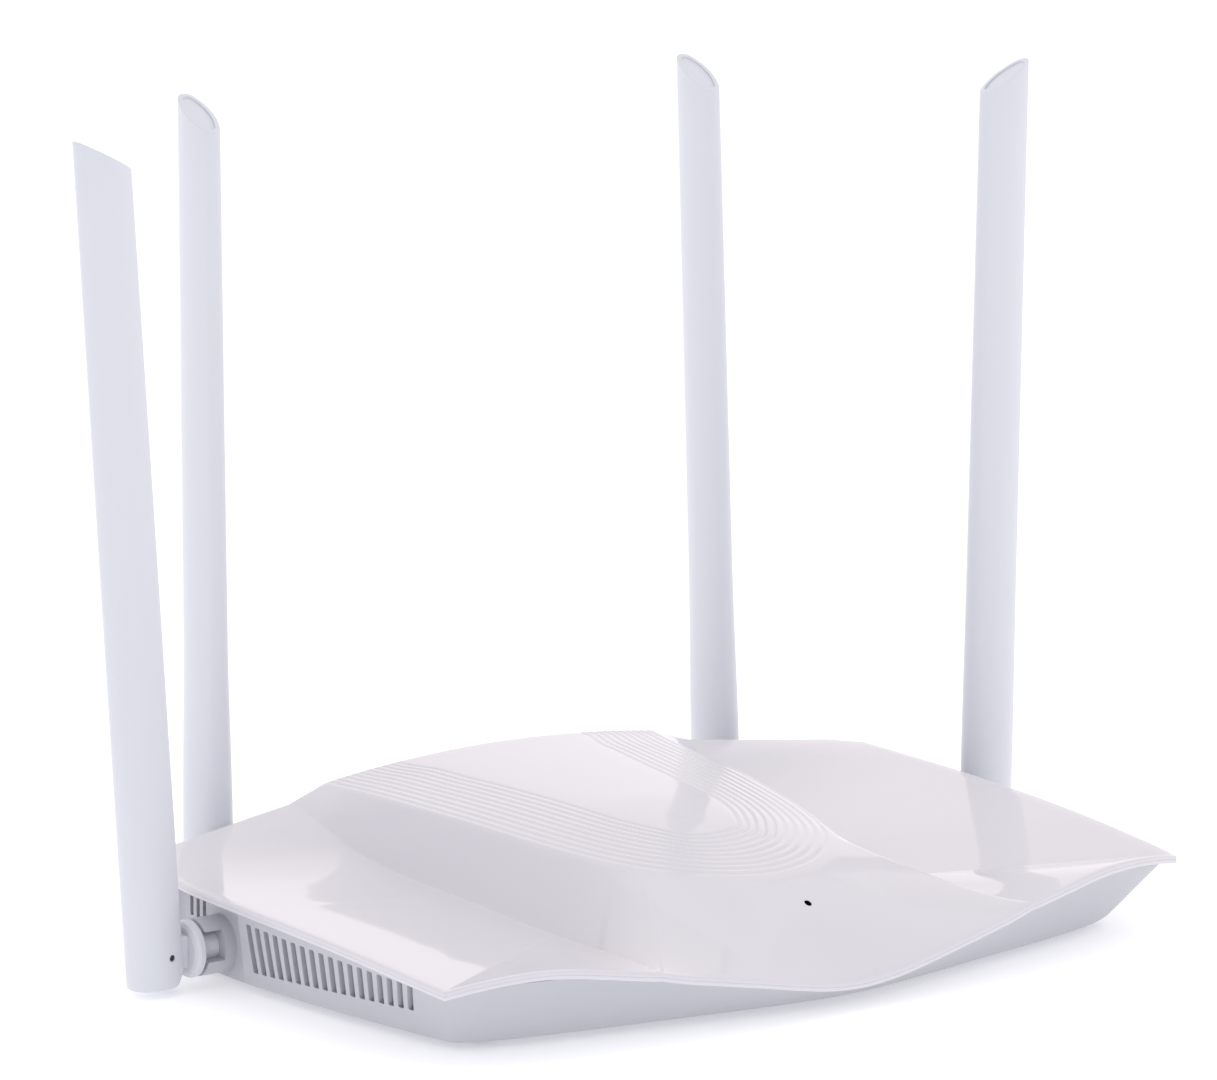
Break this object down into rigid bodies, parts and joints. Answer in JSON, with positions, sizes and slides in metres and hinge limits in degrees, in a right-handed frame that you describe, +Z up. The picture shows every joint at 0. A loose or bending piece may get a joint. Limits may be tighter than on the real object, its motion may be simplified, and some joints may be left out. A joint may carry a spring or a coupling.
{
  "type": "wifi router range extender",
  "caption": "Desktop wireless router and range extender: glossy crowned cover over a vented housing, with long folding antennas on swivel hinges at the sides and rear.",
  "frame": {"origin": "on the desk plane, the plane of the four feet, under the middle of the housing", "axes": "+X to the right seen from the front, +Y to the rear where the sockets are, +Z up"},
  "size_m": [0.3004, 0.1791, 0.2178],
  "materials": {
    "gloss_white_shell": "high gloss",
    "housing_white": "fine matte",
    "antenna_white": "satin",
    "hinge_white": "satin",
    "board_green": "solder mask",
    "jack_shield": "plated",
    "black_plastic": "moulded",
    "button_grey": "satin",
    "chip_black": "moulded epoxy",
    "thermal_grey": "soft pad",
    "aluminium_fin": "extruded",
    "shield_tin": "tinned",
    "capacitor_can": "can",
    "connector_gold": "plated",
    "led_lens": "clear",
    "clear_pipe": "clear",
    "screw_steel": "zinc plated",
    "foot_rubber": "matte",
    "label_paper": "printed film, left blank",
    "pin_steel": "ground",
    "radiator_board": "laminate",
    "coax_black": "jacket",
    "coax_grey": "jacket"
  },
  "bodies": {
    "housing": {"top_cover": "gloss_white_shell", "bottom_housing": "housing_white", "main_pcb": "board_green", "wan_jack": "jack_shield", "lan_jack_1": "jack_shield", "lan_jack_2": "jack_shield", "lan_jack_3": "jack_shield", "dc_power_jack": "black_plastic", "wps_switch": "black_plastic", "cpu_chip": "chip_black", "thermal_pad": "thermal_grey", "heat_sink": "aluminium_fin", "memory_chips": "chip_black", "rf_shield_2g": "shield_tin", "rf_shield_5g": "shield_tin", "lan_transformers": "chip_black", "filter_capacitors": "capacitor_can", "coax_connectors": "connector_gold", "status_led": "led_lens", "light_pipe": "clear_pipe", "board_screws": "screw_steel", "housing_screws": "screw_steel", "rubber_feet": "foot_rubber", "rating_label": "label_paper", "coax_lead_left": "coax_grey", "coax_lead_rear_left": "coax_grey", "coax_lead_rear_right": "coax_grey", "coax_lead_right": "coax_grey"},
    "wps_button": {"wps_button": "button_grey", "switch_actuator": "black_plastic"},
    "knuckle_left": {"knuckle_left": "hinge_white", "hinge_pin_left": "pin_steel"},
    "antenna_left": {"antenna_sleeve_left": "antenna_white", "antenna_cap_left": "antenna_white", "radiator_left": "radiator_board", "antenna_feed_left": "coax_black"},
    "knuckle_rear_left": {"knuckle_rear_left": "hinge_white", "hinge_pin_rear_left": "pin_steel"},
    "antenna_rear_left": {"antenna_sleeve_rear_left": "antenna_white", "antenna_cap_rear_left": "antenna_white", "radiator_rear_left": "radiator_board", "antenna_feed_rear_left": "coax_black"},
    "knuckle_rear_right": {"knuckle_rear_right": "hinge_white", "hinge_pin_rear_right": "pin_steel"},
    "antenna_rear_right": {"antenna_sleeve_rear_right": "antenna_white", "antenna_cap_rear_right": "antenna_white", "radiator_rear_right": "radiator_board", "antenna_feed_rear_right": "coax_black"},
    "knuckle_right": {"knuckle_right": "hinge_white", "hinge_pin_right": "pin_steel"},
    "antenna_right": {"antenna_sleeve_right": "antenna_white", "antenna_cap_right": "antenna_white", "radiator_right": "radiator_board", "antenna_feed_right": "coax_black"}
  },
  "joints": [
    {"name": "wps_press", "type": "slide", "parent": "housing", "child": "wps_button", "axis": [0, -1, 0], "range_m": [0, 0.0008], "stiffness_N_per_m": 600, "springref_m": -0.0004},
    {"name": "swivel_left", "type": "hinge", "parent": "housing", "child": "knuckle_left", "pos_m": [-0.1234, 0.0286, 0.0103], "axis": [-1, 0, 0], "range_deg": [-90, 90]},
    {"name": "fold_left", "type": "hinge", "parent": "knuckle_left", "child": "antenna_left", "pos_m": [-0.1332, 0.0286, 0.0103], "axis": [0, -1, 0], "range_deg": [-3.2, 41.8]},
    {"name": "swivel_rear_left", "type": "hinge", "parent": "housing", "child": "knuckle_rear_left", "pos_m": [-0.0836, 0.0725, 0.0103], "axis": [0, 1, 0], "range_deg": [-90, 40]},
    {"name": "fold_rear_left", "type": "hinge", "parent": "knuckle_rear_left", "child": "antenna_rear_left", "pos_m": [-0.0836, 0.0823, 0.0103], "axis": [-1, 0, 0], "range_deg": [0, 45]},
    {"name": "swivel_rear_right", "type": "hinge", "parent": "housing", "child": "knuckle_rear_right", "pos_m": [0.0836, 0.0725, 0.0103], "axis": [0, 1, 0], "range_deg": [-38, 92]},
    {"name": "fold_rear_right", "type": "hinge", "parent": "knuckle_rear_right", "child": "antenna_rear_right", "pos_m": [0.0836, 0.0823, 0.0103], "axis": [-0.9994, 0, -0.0349], "range_deg": [0, 45]},
    {"name": "swivel_right", "type": "hinge", "parent": "housing", "child": "knuckle_right", "pos_m": [0.1234, 0.0286, 0.0103], "axis": [1, 0, 0], "range_deg": [-90, 90]},
    {"name": "fold_right", "type": "hinge", "parent": "knuckle_right", "child": "antenna_right", "pos_m": [0.1332, 0.0286, 0.0103], "axis": [0, 1, 0], "range_deg": [-1, 44]}
  ]
}
